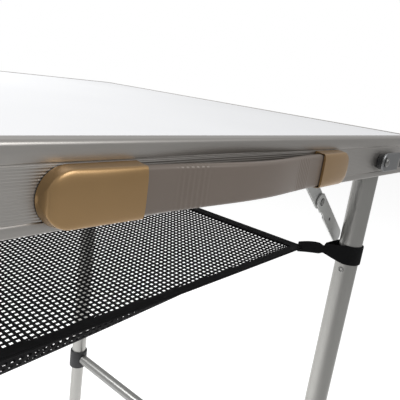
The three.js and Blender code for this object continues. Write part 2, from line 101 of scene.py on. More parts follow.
# %% Camera
EYE = Vector((END_X - 513.0 * MM, NEAR_FACE - 147.4 * MM, TOP_Z + 28.15 * MM))
LOOK_TURN = radians(50.66)  # from +Y towards +X
LOOK_DOWN = radians(14.3)
ROLL = radians(7.95)
camera_data = bpy.data.cameras.new("camera")
camera_data.sensor_width = 36
camera_data.lens = 42.98
camera_data.clip_start = 0.02
camera = bpy.data.objects.new("camera", camera_data)
bpy.context.scene.collection.objects.link(camera)
aim = Euler((0, 0, -LOOK_TURN)).to_matrix() @ Euler((pi / 2 - LOOK_DOWN, 0, 0)).to_matrix()
camera.matrix_world = (aim @ Euler((0, 0, ROLL)).to_matrix()).to_4x4()
camera.location = EYE
bpy.context.scene.camera = camera
print("camera at", [round(x, 3) for x in EYE])

# %% [markdown]
# A surface is a grid of points worked out with whole arrays. Its quads join neighbouring points, and a
# wrapped side also joins its last line of points to its first.


# %% Grids of quads
def grid_quads(rows, columns, wrap_rows=False, wrap_columns=False):
    """The corners of each quad between neighbouring points of a rows by columns grid."""
    i = np.arange(rows if wrap_rows else rows - 1)[:, None]
    j = np.arange(columns if wrap_columns else columns - 1)[None, :]
    below, beside = (i + 1) % rows, (j + 1) % columns
    corners = (i * columns + j, i * columns + beside, below * columns + beside, below * columns + j)
    return np.stack(corners, axis=-1).reshape(-1, 4)


# %% [markdown]
# One function turns points and faces into a finished piece: it merges doubled points, turns the faces
# outwards, keeps edges sharper than a set angle crisp, and lets the piece ride on its body.


# %% Make a piece
def make_piece(name, points, faces, material, body=None, slot=None, sharp=35, weld=1e-6):
    """A mesh object at the origin, with its place in its vertices."""
    mesh = bpy.data.meshes.new(name)
    mesh.from_pydata(np.asarray(points, float).reshape(-1, 3).tolist(), [], [list(f) for f in faces])
    work = bmesh.new()
    work.from_mesh(mesh)
    if weld:
        bmesh.ops.remove_doubles(work, verts=work.verts, dist=weld)
    bmesh.ops.recalc_face_normals(work, faces=work.faces)
    work.to_mesh(mesh)
    work.free()
    mesh.shade_smooth()
    mesh.set_sharp_from_angle(angle=radians(sharp))
    mesh.materials.append(material)
    piece = bpy.data.objects.new(name, mesh)
    bpy.context.scene.collection.objects.link(piece)
    if body:
        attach(piece, body)
    return piece


# %% [markdown]
# Material sums are written as plain Python. A Wire stands for one output socket, and adding or multiplying
# wires adds the Math nodes. A Finish is one material with its Principled shader.


# %% Wires and finishes
class Wire:
    """An output socket that Python's operators can use."""

    def __init__(self, finish, socket):
        self.finish, self.socket = finish, socket

    def math(self, operation, first, second):
        return self.finish.add("ShaderNodeMath", {"operation": operation}, {0: first, 1: second})

    def __add__(self, other):
        return self.math("ADD", self, other)

    def __mul__(self, other):
        return self.math("MULTIPLY", self, other)

    __radd__ = __add__
    __rmul__ = __mul__


class Finish:
    """A node material: add() makes any node, and shade() sets the Principled shader."""

    def __init__(self, name, **fixed):
        self.material = bpy.data.materials.new(name)
        self.material.use_nodes = True
        self.tree = self.material.node_tree
        self.shader = self.tree.nodes["Principled BSDF"]
        self.shade(**fixed)

    def put(self, socket, value):
        if isinstance(value, Wire):
            self.tree.links.new(value.socket, socket)
        else:
            socket.default_value = value

    def add(self, kind, settings=None, inputs=None, output=0):
        node = self.tree.nodes.new(kind)
        for key, value in (settings or {}).items():
            setattr(node, key, value)
        for key, value in (inputs or {}).items():
            self.put(node.inputs[key], value)
        return Wire(self, node.outputs[output])

    def shade(self, **sockets):
        for key, value in sockets.items():
            self.put(self.shader.inputs[key.replace("_", " ")], value)

    def places(self, scale=(1, 1, 1)):
        """Object coordinates in metres, stretched by scale."""
        here = self.add("ShaderNodeTexCoord", output="Object")
        return self.add("ShaderNodeMapping", {}, {"Vector": here, "Scale": scale})

    def noise(self, scale, detail=3, stretch=(1, 1, 1)):
        """Noise from 0 to 1 with features of about 1 / scale metres."""
        inputs = {"Vector": self.places(stretch), "Scale": scale, "Detail": detail, "Roughness": 0.5}
        return self.add("ShaderNodeTexNoise", {}, inputs)

    def mix(self, share, first, second):
        """A colour between two, by share."""
        inputs = {0: share, 6: (*first, 1), 7: (*second, 1)}
        return self.add("ShaderNodeMix", {"data_type": "RGBA"}, inputs, output=2)

    def bump(self, height, depth, strength=1.0):
        """A normal from a height map of that depth in metres."""
        inputs = {"Height": height, "Distance": depth, "Strength": strength}
        self.shade(Normal=self.add("ShaderNodeBump", {}, inputs))


# %% [markdown]
# Anodised aluminium is a satin metal. An extrusion carries fine die lines along its length, so its noise is
# stretched that way, and a drawn tube has the same lines along its axis.


# %% Metals
def drawn_metal(name, colour, roughness, along, streak=0.09):
    """Satin metal with fine lines along one axis: 0 for X, 1 for Y, 2 for Z."""
    finish = Finish(name, Metallic=1.0)
    stretch = tuple(0.02 if axis == along else 1 for axis in range(3))
    lines = finish.noise(2600, 2, stretch)
    cloud = finish.noise(14, 3)
    dark = tuple(c * 0.86 for c in colour)
    finish.shade(Base_Color=finish.mix(lines * 0.7 + cloud * 0.3, dark, colour))
    finish.shade(Roughness=lines * streak + cloud * 0.06 + (roughness - streak / 2))
    finish.bump(lines, 0.00004, 0.5)
    return finish.material


RAIL_COLOUR = (0.50, 0.48, 0.455)
rail_metals = [drawn_metal(f"rail_aluminium_{axis}", RAIL_COLOUR, 0.36, axis) for axis in range(2)]
tube_metal = drawn_metal("tube_aluminium", (0.45, 0.445, 0.425), 0.30, 2)
bar_metal = drawn_metal("crossbar_aluminium", (0.34, 0.34, 0.33), 0.32, 1)
link_metal = drawn_metal("link_aluminium", (0.78, 0.785, 0.77), 0.45, 0, 0.05)
print("metals:", len(bpy.data.materials))


# %% [markdown]
# Pressed steel is zinc plated: a cool grey with a faint crystal mottle. Rivet heads are the same, polished.


# %% Steel
def plated_steel(name, colour, roughness):
    """Zinc plate: a mottle of small cells over satin steel."""
    finish = Finish(name, Metallic=1.0)
    inputs = {"Vector": finish.places(), "Scale": 420.0}
    cells = finish.add("ShaderNodeTexVoronoi", {}, inputs, output="Color")
    grey = finish.add("ShaderNodeRGBToBW", {}, {0: cells})
    cloud = finish.noise(60, 3)
    dark = tuple(c * 0.78 for c in colour)
    finish.shade(Base_Color=finish.mix(grey * 0.5 + cloud * 0.5, dark, colour))
    finish.shade(Roughness=grey * 0.12 + cloud * 0.08 + (roughness - 0.1))
    finish.bump(cloud, 0.00005, 0.4)
    return finish.material


steel = plated_steel("plated_steel", (0.30, 0.305, 0.31), 0.38)
rivet_metal = plated_steel("rivet_steel", (0.34, 0.34, 0.33), 0.3)

# %% [markdown]
# The board is a white laminate with a satin sheen: almost even, with a faint cloud and a fine orange peel.


# %% Laminate
laminate = Finish("white_laminate", Coat_Weight=0.25, Coat_Roughness=0.25)
laminate_cloud = laminate.noise(7, 4)
laminate_peel = laminate.noise(900, 2)
laminate.shade(Base_Color=laminate.mix(laminate_cloud, (0.86, 0.87, 0.89), (0.90, 0.905, 0.92)))
laminate.shade(Roughness=laminate_cloud * 0.08 + laminate_peel * 0.05 + 0.3)
laminate.bump(laminate_peel, 0.00003, 0.35)

# %% [markdown]
# The handle's caps are moulded in a bronze-tan plastic with metal flake, the grip in a softer taupe one,
# and spacers, collars and feet are plain black plastic with the fine grain of a spark-eroded mould.


# %% Plastics
def moulded(name, light, dark, roughness, grain, metallic=0.0, coat=0.0):
    """Moulded plastic: a slow cloud of colour with a fine surface grain."""
    finish = Finish(name, Metallic=metallic, Coat_Weight=coat, Coat_Roughness=0.2)
    cloud = finish.noise(35, 3)
    fine = finish.noise(grain, 2)
    finish.shade(Base_Color=finish.mix(cloud * 0.6 + fine * 0.4, dark, light))
    finish.shade(Roughness=fine * 0.14 + cloud * 0.06 + (roughness - 0.1))
    finish.bump(fine, 0.00003, 0.4)
    return finish.material


cap_plastic = moulded("cap_bronze_plastic", (0.44, 0.275, 0.12), (0.365, 0.225, 0.098), 0.36, 2200, 0.75, 0.4)
grip_plastic = moulded(
    "grip_taupe_plastic", (0.215, 0.175, 0.147), (0.178, 0.146, 0.122), 0.42, 1500, 0.1, 0.1
)
black_plastic = moulded("black_plastic", (0.028, 0.028, 0.030), (0.016, 0.016, 0.018), 0.48, 1800)

# %% [markdown]
# Webbing is a plain weave of black polyester: two crossing sets of fine ribs, about a millimetre apart.


# %% Webbing and yarn
def woven(name, light, dark, pitch, depth):
    """Black cloth whose ribs cross every pitch metres."""
    finish = Finish(name, Roughness=0.8, Specular_IOR_Level=0.15)
    here = finish.add("ShaderNodeTexCoord", output="Object")
    parts = [finish.add("ShaderNodeSeparateXYZ", {}, {0: here}, output=axis) for axis in range(3)]
    along = finish.add("ShaderNodeMath", {"operation": "SINE"}, {0: (parts[0] + parts[1]) * (TURN / pitch)})
    across = finish.add("ShaderNodeMath", {"operation": "SINE"}, {0: parts[2] * (TURN / pitch)})
    rib = along * across * 0.5 + 0.5
    fuzz = finish.noise(1200, 3)
    finish.shade(Base_Color=finish.mix(rib * 0.6 + fuzz * 0.4, dark, light))
    finish.bump(rib * 0.7 + fuzz * 0.3, depth, 0.8)
    return finish.material


webbing = woven("black_webbing", (0.0075, 0.0075, 0.008), (0.002, 0.002, 0.0025), 1.4 * MM, 0.0002)
net_yarn = woven("net_yarn", (0.006, 0.006, 0.007), (0.002, 0.002, 0.0025), 0.9 * MM, 0.00015)

# %% [markdown]
# The carried-over CAD nodes keep their shape and take these finishes. A rail's lines run along it.


# %% Finishes on the CAD nodes
def node_finish(name):
    """The finish of a CAD node, by the start of its name."""
    if name.startswith("panel"):
        return laminate.material
    if name.startswith("rail"):
        return rail_metals[0 if name.endswith(("near", "far")) else 1]
    if name.startswith("corner"):
        return rail_metals[0]
    if name.startswith(("hinge", "leg_bracket", "latch_strap")):
        return steel
    if name.startswith("crossbar"):
        return bar_metal
    if name.startswith(("leg_tube", "leg_extension")):
        return tube_metal
    if name.startswith("brace"):
        return link_metal
    if name.startswith("handle_cap"):
        return cap_plastic
    if name.startswith("handle_grip"):
        return grip_plastic
    if name.startswith(("net", "webbing")):
        return webbing
    return black_plastic


for node_name, node in frame["nodes"].items():
    node.data.materials.clear()
    node.data.materials.append(node_finish(node_name))

# %% [markdown]
# A turned piece is a profile carried round an axis: each (radius, height) of the profile goes once round,
# so x = radius cos a, y = radius sin a, z = height. Tubes, collars, feet, spacers and rivets are turned.


# %% Turned pieces
AXES = {  # the directions of x, y and the height
    "up": ((1, 0, 0), (0, 1, 0), (0, 0, 1)),
    "near": ((1, 0, 0), (0, 0, 1), (0, -1, 0)),
    "far": ((-1, 0, 0), (0, 0, 1), (0, 1, 0)),
    "inwards_right": ((0, -1, 0), (0, 0, 1), (-1, 0, 0)),
    "inwards_left": ((0, 1, 0), (0, 0, 1), (1, 0, 0)),
}


def turned(profile, centre, axis="up", sides=48):
    """Points and quads of a closed profile carried round an axis through centre."""
    radius, height = np.array(profile, float).T
    angle = np.arange(sides) * TURN / sides
    x, y = np.outer(radius, np.cos(angle)), np.outer(radius, np.sin(angle))
    ring = np.stack([x, y, np.outer(height, np.ones(sides))], -1)
    points = ring.reshape(-1, 3) @ np.array(AXES[axis], float) + np.array(centre, float)
    closed = profile[0] != profile[-1] and profile[0][0] > 0
    return points, grid_quads(len(profile), sides, wrap_rows=closed, wrap_columns=True)


def quarter(radius, height, size, start, steps=5):
    """A rounded edge of a profile: a quarter circle of that size about (radius, height), from an angle."""
    angle = start + np.linspace(0, pi / 2, steps)
    return [(radius + size * cos(a), height + size * sin(a)) for a in angle]


# %% [markdown]
# A plate is an outline with a thickness. Its front and back edges are broken by a small bevel, so that they
# catch the light: each outline point moves inwards by the bevel, along the outline's own normal.


# %% Plates
def plate(outline, back, front, bevel):
    """Points and faces of a plate in x and z that stands between two y places, with bevelled edges."""
    line = np.array(outline, float)
    ahead, behind = np.roll(line, -1, axis=0) - line, line - np.roll(line, 1, axis=0)
    unit = lambda v: v / np.maximum(np.linalg.norm(v, axis=1, keepdims=True), 1e-12)
    tangent = unit(unit(ahead) + unit(behind))
    area = (line[:, 0] * np.roll(line[:, 1], -1) - np.roll(line[:, 0], -1) * line[:, 1]).sum()
    inwards = np.stack([-tangent[:, 1], tangent[:, 0]], -1) * np.sign(area)
    inset = line + inwards * bevel
    step = bevel * np.sign(front - back)
    rings = ((inset, back), (line, back + step), (line, front - step), (inset, front))
    points = np.concatenate([np.insert(ring, 1, y, axis=1) for ring, y in rings])
    n = len(line)
    sides = [list(f) for f in grid_quads(4, n, wrap_columns=True)]
    return points, [*sides, list(range(n)), list(range(4 * n - 1, 3 * n - 1, -1))]


def bow(x, z, radius, start, end, steps=10):
    """Points on an arc about (x, z)."""
    return [(x + radius * cos(a), z + radius * sin(a)) for a in np.linspace(start, end, steps)]


# %% [markdown]
# A rail is one section carried along its length: a smooth lip, a soft groove, fine cosine ribs and a lower
# lip on the outer face, and the ledge and flange behind it. Places are (inwards, up) from the outer top edge.

# %% Rails
RIB_PITCH = 1.15 * MM
RIB_DEPTH = 0.09 * MM
RIBS_FROM, RIBS_TO = -9.4 * MM, -29.6 * MM
LIP_ROUND = 2.1 * MM


def rail_section():
    """The closed outline of the section."""
    down = np.linspace(RIBS_FROM, RIBS_TO, 141)
    inwards = 0.2 * MM + RIB_DEPTH * (0.5 + 0.5 * np.cos(TURN * (down - RIBS_FROM) / RIB_PITCH))
    groove = [(0, -7.9), (0.12, -8.15), (0.55, -8.5), (0.55, -8.85), (0.25, -9.15)]
    lower = [(0.3, -29.9), (0.5, -30.2), (0.1, -30.6), (0, -31)]
    behind = [
        (14, -35), (14, -33.4), (2.6, -33.4), (2.6, -6.8), (13, -6.8),
        (13, -5.2), (9, -5.2), (9, -0.3), (8.7, 0),
    ]
    scaled = lambda places: [(u * MM, w * MM) for u, w in places]
    return np.array([
        *bow(LIP_ROUND, -LIP_ROUND, LIP_ROUND, pi / 2, pi, 8), *scaled(groove),
        *zip(inwards, down), *scaled(lower),
        *bow(0.8 * MM, -34.2 * MM, 0.8 * MM, pi, 3 * pi / 2, 5), *scaled(behind),
    ])


def rail_piece(name):
    """The section along the node's longer side, with its outer face on the node's outer face."""
    low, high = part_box(name)
    section = rail_section()
    along = 0 if high.x - low.x > high.y - low.y else 1
    if along == 0:
        outwards = -1 if name.endswith("near") else 1
    else:
        outwards = 1 if low.x > 0.3 or -0.3 < high.x < 0 else -1
    face = (high if outwards > 0 else low)[1 - along]
    points = np.empty((2, len(section), 3))
    points[:, :, along] = np.array([low[along], high[along]])[:, None]
    points[:, :, 1 - along] = face - outwards * section[:, 0]
    points[:, :, 2] = TOP_Z + section[:, 1]
    n = len(section)
    faces = [*grid_quads(2, n, wrap_columns=True).tolist(), list(range(n)), list(range(n, 2 * n))]
    body = "right_half" if "right" in name else "left_half"
    shell_name = name.replace("rail", "ribbed_rail")
    piece = make_piece(shell_name, points, faces, rail_metals[along], body, "aluminium", 30)
    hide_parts(name)


for label, _ in SIDES:
    for rail_side in ("near", "far", "end", "middle"):
        rail_piece(f"rail_{label}_{rail_side}")
print("rails made")

# %% [markdown]
# The handle's caps are crowned: from the rounded tip to the mouth the cap rises off the rail, and across it
# the face is a soft arch between two low side walls. Height and half width follow from the distance s to
# the tip: the half width is the tip's circle, sqrt(R^2 - (R - s)^2), and the reach grows as a sine.

# %% Handle caps
CAP_EDGE = 4.9 * MM  # how far its side walls stand off the rail
CAP_FLARE = 0.7 * MM  # how far the walls spread at the rail
MOUTH_HIGH = 11.3 * MM  # half height of the opening for the grip
MOUTH_FACE = 6.9 * MM  # outer edge of that opening, from the rail


def cap_surface(node, side):
    """A crowned cap: s runs from tip to mouth and v across the face from the lower to the upper edge.
    Height is R times a power of -cos v, and reach is the wall plus the crown times a power of sin v. Both
    powers fall towards the mouth, where the section is nearly square."""
    low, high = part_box(node)
    radius, length = (high.z - low.z) / 2, high.x - low.x
    back, reach = NEAR_FACE - 0.0002, NEAR_FACE - low.y
    tip = high.x if side > 0 else low.x
    s = length * (1 - np.cos(np.linspace(0.02, 1, 34) * pi / 2))
    v = np.linspace(0, pi, 33)
    width = np.where(s < radius, np.sqrt(np.maximum(radius**2 - (radius - s) ** 2, 0)), radius)
    share = (s / length)[:, None]
    rise = np.sin(share * pi / 2) ** 0.55
    crown = (reach - CAP_EDGE) * (0.25 + 0.75 * rise) * np.clip(s[:, None] / (0.35 * radius), 0, 1) ** 0.5
    wall = CAP_EDGE * np.clip(s[:, None] / (0.12 * radius), 0, 1) ** 0.5
    z = -np.sign(np.cos(v)) * np.abs(np.cos(v)) ** (0.82 - 0.22 * share)
    lift = np.sin(v) ** (0.9 - 0.52 * share)
    lift[:, -1] = 0
    spread = (radius + CAP_FLARE) / radius
    across = np.pad(z, ((0, 0), (1, 1)), constant_values=((0, 0), (-spread, spread)))
    up = np.pad(lift, ((0, 0), (1, 1)))
    on_wall = np.pad(np.ones(len(v)), 1)
    x = np.repeat((tip - side * s)[:, None], len(v) + 2, 1)
    heart = tip - side * radius
    beyond = (s < radius)[:, None] & (on_wall == 0)
    x = np.where(beyond, heart + (x - heart) * spread, x)
    y = back - (wall * on_wall + crown * up)
    height = (low.z + high.z) / 2 + width[:, None] * across
    rows = np.stack([x, y, height], -1)
    lip = rows[-1].copy()
    lip[:, 1] = np.clip(lip[:, 1], back - MOUTH_FACE, back - 0.9 * MM)
    lip[:, 2] = np.clip(lip[:, 2], (low.z + high.z) / 2 - MOUTH_HIGH, (low.z + high.z) / 2 + MOUTH_HIGH)
    floor = lip + np.array([side * 4 * MM, 0, 0])
    points = np.concatenate([rows, lip[None], floor[None]])
    count, columns = points.shape[:2]
    faces = [list(f) for f in grid_quads(count, columns, wrap_columns=True)]
    end = [(count - 1) * columns + k for k in range(columns)]
    return points, [*faces, end, list(range(columns))]


for cap_name, cap_side in (("handle_cap_inner", -1), ("handle_cap_outer", 1)):
    shell_name = cap_name.replace("handle_cap", "cap_shell")
    shape = cap_surface(cap_name, cap_side)
    cap_piece = make_piece(shell_name, *shape, cap_plastic, "right_half", "cap_plastic", 40)
    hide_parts(cap_name)
    print(shell_name, len(cap_piece.data.vertices), "points")

# %% [markdown]
# The grip is a band of soft plastic that bows away from the rail so that fingers fit behind it. Its bow and
# its waist both follow (1 + cos(pi t)) / 2, with t from -1 to 1 between the caps, and fine upright ridges
# near its ends keep it from slipping.

# %% Handle grip
GRIP_THICK = 5.4 * MM
CAP_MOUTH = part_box("handle_cap_inner")[1].x
MOUTH_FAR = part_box("handle_cap_outer")[0].x
GRIP_MIDDLE = (CAP_MOUTH + MOUTH_FAR) / 2
GRIP_HALF = (MOUTH_FAR - CAP_MOUTH) / 2
RIDGE_PITCH = 3.0 * MM
RIDGE_DEPTH = 0.25 * MM


def grip_surface():
    """A rounded bar section carried along the bow. The section's corners are quarter circles."""
    low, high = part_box("handle_grip")
    bow_reach = NEAR_FACE - low.y
    face_at_caps, full, waist = 6.6 * MM, 11 * MM, 9.2 * MM
    t = np.linspace(-1.025, 1.025, 421)
    swell = (1 + np.cos(pi * np.clip(t, -1, 1))) / 2
    front = face_at_caps + (bow_reach - face_at_caps) * swell
    corner = 2.1 * MM
    below = full - (full - waist) * swell - corner
    above = full + 0.3 * MM * swell - corner
    angle = np.linspace(0, pi / 2, 6)
    depth = GRIP_THICK / 2 - corner
    arc_u, arc_v = corner * np.cos(angle), corner * np.sin(angle)
    # quarter circles for the four corners, as (depth, height) with height measured from the edge inwards
    u = np.concatenate([depth + arc_u, -(depth + arc_u[::-1]), -(depth + arc_u), depth + arc_u[::-1]])
    v = np.concatenate([arc_v, arc_v[::-1], -arc_v, -arc_v[::-1]])
    upper = np.concatenate([np.ones(12), np.zeros(12)])
    x = GRIP_MIDDLE + GRIP_HALF * t
    fade = np.clip((0.14 - np.abs(np.abs(t) - 0.64)) / 0.05, 0, 1)
    ridge = (0.5 + 0.5 * np.cos(TURN * x / RIDGE_PITCH)) * fade
    outer = (u > 0)[None, :] * ridge[:, None] * RIDGE_DEPTH
    centre = front - GRIP_THICK / 2
    y = NEAR_FACE - (centre[:, None] + u[None, :] + outer)
    z = (low.z + high.z) / 2 + above[:, None] * upper - below[:, None] * (1 - upper) + v[None, :]
    points = np.stack([np.repeat(x[:, None], len(u), 1), y, z], -1)
    rows, columns = points.shape[:2]
    faces = [list(f) for f in grid_quads(rows, columns, wrap_columns=True)]
    return points, [*faces, list(range(columns)), [(rows - 1) * columns + k for k in range(columns)]]


grip = make_piece("grip_band", *grip_surface(), grip_plastic, "right_half", "grip_plastic", 50)
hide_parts("handle_grip")
print("grip", len(grip.data.vertices), "points")

# %% [markdown]
# A latch is a steel strap on a riveted post, held off the rail by a black spacer. It swings down and its
# notch catches the stud on the other half. The stud has the same spacer and rivet.

# %% Latches
LATCH = {place: joint_place(f"latch_{place}_swing") for place, _ in PLACES}
STUD_X = middle("latch_stud_near").x
POST_RADIUS = (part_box("latch_pivot_near")[1].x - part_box("latch_pivot_near")[0].x) / 2
SPAN = 34 * MM  # pivot to notch
STRAP_BACK, STRAP_FRONT = 4.5 * MM, 6.0 * MM  # from the rail's face


def latch_outline(x, z):
    """The strap: round about its pivot, with an open notch for the stud and a rounded nose."""
    w, slot, nose = 8 * MM, 3.5 * MM, 9 * MM
    left, right = x + SPAN - slot, x + SPAN + slot
    end = x + SPAN + nose - w
    return [
        *bow(x, z, w, pi / 2, 3 * pi / 2, 18),
        *bow(left - 1 * MM, z - w + 1 * MM, 1 * MM, -pi / 2, 0, 5),
        *bow((left + right) / 2, z, slot, pi, 0, 12),
        *bow(right + 0.8 * MM, z - w + 2.2 * MM, 0.8 * MM, pi, 3 * pi / 2, 5),
        *bow(end, z, w, -pi / 5, pi / 2, 14),
    ]


def post_pieces(name, x, z, sideY, body):
    """A black spacer, which is returned, and a rivet with a domed head over a washer."""
    at = (x, NEAR_FACE if sideY < 0 else FAR_FACE, z)
    axis = "near" if sideY < 0 else "far"
    stand, edge = 4.2 * MM, 0.7 * MM
    r = POST_RADIUS
    rounded = [(0, 0.3 * MM), (r, 0.3 * MM), *quarter(r - edge, stand - edge, edge, 0), (0, stand)]
    spacer = make_piece(f"{name}_spacer", *turned(rounded, at, axis), black_plastic, body, "black_plastic")
    head = [(0, stand), (2.4 * MM, stand), (2.4 * MM, 6.3 * MM), (4.2 * MM, 6.3 * MM), (4.2 * MM, 6.8 * MM)]
    domed = [(3.5 * MM * cos(a), 6.8 * MM + 1.3 * MM * sin(a)) for a in np.linspace(0, pi / 2, 8)]
    shape = turned([*head, *domed[:-1], (0, 8.1 * MM)], at, axis)
    make_piece(f"{name}_rivet", *shape, rivet_metal, body, "steel")
    return spacer


for place, sideY in PLACES:
    pivot = LATCH[place]
    face = NEAR_FACE if sideY < 0 else FAR_FACE
    back, front = face + sideY * STRAP_BACK, face + sideY * STRAP_FRONT
    shape = plate(latch_outline(pivot.x, pivot.z), back, front, 0.35 * MM)
    strap = make_piece(f"strap_{place}", *shape, steel, f"latch_{place}", "steel")
    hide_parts(f"latch_strap_{place}")
    spacer = post_pieces(f"latch_post_{place}", pivot.x, pivot.z, sideY, "right_half")
    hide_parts(f"latch_pivot_{place}")
    spacer = post_pieces(f"latch_catch_{place}", STUD_X, pivot.z, sideY, "left_half")
    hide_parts(f"latch_stud_{place}")

# %% [markdown]
# Each leg is a drawn tube with a smaller tube sliding in it. A black collar closes the outer tube's end and
# a moulded foot the inner one's. They are all turned profiles with rounded edges.

# %% Legs
LEG_RADIUS = 11.75 * MM
TUBE_WALL = 1.2 * MM
INNER_RADIUS = 10.25 * MM
COLLAR_RADIUS = 14.5 * MM
COLLAR_LENGTH = 31 * MM
FOOT_RADIUS = 13.5 * MM


def leg_pieces(label, side, place, sideY):
    """The tubes, collar and foot of one leg."""
    centre = (side * LEG_X, MIDDLE_Y + sideY * LEG_OUT, 0)
    legs, sliding = f"legs_{label}", f"extension_{label}_{place}"
    tube_low, tube_high = (corner.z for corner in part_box(f"leg_tube_{label}_{place}"))
    r, hole, ease = LEG_RADIUS, LEG_RADIUS - TUBE_WALL, 0.4 * MM
    profile = [
        *quarter(r - ease, tube_high - ease, ease, 0), (hole, tube_high),
        (hole, tube_low + 4 * MM), (r, tube_low + 4 * MM),
    ]
    shape = turned(profile, centre, sides=72)
    tube = make_piece(f"outer_tube_{label}_{place}", *shape, tube_metal, legs, "aluminium")
    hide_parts(f"leg_tube_{label}_{place}")
    r, bore, ease = COLLAR_RADIUS, INNER_RADIUS + 0.3 * MM, 1.6 * MM
    low, high = tube_low, tube_low + COLLAR_LENGTH
    profile = [
        (bore, low), *quarter(r - ease, low + ease, ease, -pi / 2), *quarter(r - ease, high - ease, ease, 0),
        (LEG_RADIUS + 0.1 * MM, high), (LEG_RADIUS + 0.1 * MM, high - 6 * MM), (bore, high - 6 * MM),
    ]
    shape = turned(profile, centre, sides=72)
    make_piece(f"collar_{label}_{place}", *shape, black_plastic, legs, "black_plastic")
    foot_low, foot_high = (corner.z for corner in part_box(f"foot_{label}_{place}"))
    inner_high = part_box(f"leg_extension_{label}_{place}")[1].z
    r = INNER_RADIUS
    profile = [
        (r, inner_high), (r - TUBE_WALL, inner_high),
        (r - TUBE_WALL, foot_low + 9 * MM), (r, foot_low + 9 * MM),
    ]
    shape = turned(profile, centre, sides=72)
    inner = make_piece(f"inner_tube_{label}_{place}", *shape, tube_metal, sliding, "aluminium")
    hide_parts(f"leg_extension_{label}_{place}")
    r, ease, rim = FOOT_RADIUS, 2.2 * MM, INNER_RADIUS + 0.25 * MM
    tread = [(0, foot_low + 1 * MM), (r * 0.55, foot_low + 1 * MM), (r * 0.62, foot_low)]
    profile = [
        *tread, *quarter(r - ease, foot_low + ease, ease, -pi / 2),
        (r, foot_low + 11 * MM), (r - 0.7 * MM, foot_low + 13 * MM),
        *quarter(r - 1.7 * MM, foot_high - 1 * MM, 1 * MM, 0),
        (rim, foot_high), (rim, foot_low + 8 * MM), (0, foot_low + 8 * MM),
    ]
    shape = turned(profile, centre, sides=72)
    foot = make_piece(f"moulded_foot_{label}_{place}", *shape, black_plastic, sliding, "black_plastic")
    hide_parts(f"foot_{label}_{place}")


for label, side in SIDES:
    for place, sideY in PLACES:
        leg_pieces(label, side, place, sideY)
print("legs made")

# %% [markdown]
# Below each webbing loop the leg carries a tubular rivet that faces the middle of the table: a rolled rim
# round a small hollow.


# %% Leg rivets
def hollow_rivet(radius, height):
    """A rolled rim round a hollow, closed on the axis."""
    angle = np.linspace(0, pi * 0.9, 10)
    rolled = [(radius * (0.72 + 0.28 * cos(a)), height * (0.4 + 0.6 * sin(a))) for a in angle]
    return [(0, -2 * MM), (radius, -2 * MM), *rolled, (radius * 0.42, 0.1 * MM), (0, 0.1 * MM)]


RIVET_DOWN = 123.8 * MM
for label, side in SIDES:
    for place, sideY in PLACES:
        at = (side * (LEG_X - LEG_RADIUS + 0.2 * MM), MIDDLE_Y + sideY * LEG_OUT, PIVOT_Z - RIVET_DOWN)
        shape = turned(hollow_rivet(3.0 * MM, 1.1 * MM), at, f"inwards_{label}", 28)
        make_piece(f"leg_rivet_{label}_{place}", *shape, rivet_metal, f"legs_{label}", "steel")

# %% [markdown]
# A brace is two flat links riveted in the middle. The lower one is the locking link: its inner end has a
# rounded bulge about the rivet and two small catches along one edge. Its outline is drawn along its own
# line, from the middle rivet to the leg, and then turned into place.

# %% Braces
BRACE_ALONG = 111 * MM  # pivot to the upper link's pin, along the table
BRACE_DOWN = 91 * MM  # pivot to the lower link's pin, down the leg
STAY = (BRACE_ALONG**2 + BRACE_DOWN**2) ** 0.5
UPPER = (STAY + BRACE_ALONG - BRACE_DOWN) / 2
LINK_HALF = 8 * MM


def place_link(outline, side, start):
    """Turns (along, across) into (x, z): along runs down the stay from the upper pin, start metres on."""
    line = np.array(outline, float)
    ahead = np.array([side * BRACE_ALONG, -BRACE_DOWN]) / STAY
    beside = np.array([-side * BRACE_DOWN, -BRACE_ALONG]) / STAY
    pin = np.array([side * (LEG_X - BRACE_ALONG), PIVOT_Z])
    return pin + (line[:, :1] + start) * ahead + line[:, 1:] * beside


def lower_link(length):
    """The locking link: positive across is the edge that faces away from the leg's pivot."""
    w, e = LINK_HALF, 8.5 * MM
    return [
        *bow(0, 0, e, radians(242), radians(118), 16),
        (5.6 * MM, w - 0.1 * MM), (8.3 * MM, w), *bow(9.8 * MM, w, 1.5 * MM, pi, 1.7 * pi, 5),
        (12.0 * MM, w - 1.6 * MM), (14.6 * MM, w - 1.2 * MM),
        *bow(16.2 * MM, w - 0.6 * MM, 1.4 * MM, 1.1 * pi, 1.8 * pi, 5),
        (18.6 * MM, w), *bow(length + 5.5 * MM, 0, w, pi / 2, -pi / 2, 14),
    ]


def upper_link(length):
    """The plain link, with round ends."""
    return [
        *bow(0, 0, LINK_HALF, 3 * pi / 2, pi / 2, 14),
        *bow(length, 0, LINK_HALF - 0.2 * MM, pi / 2, -pi / 2, 14),
    ]


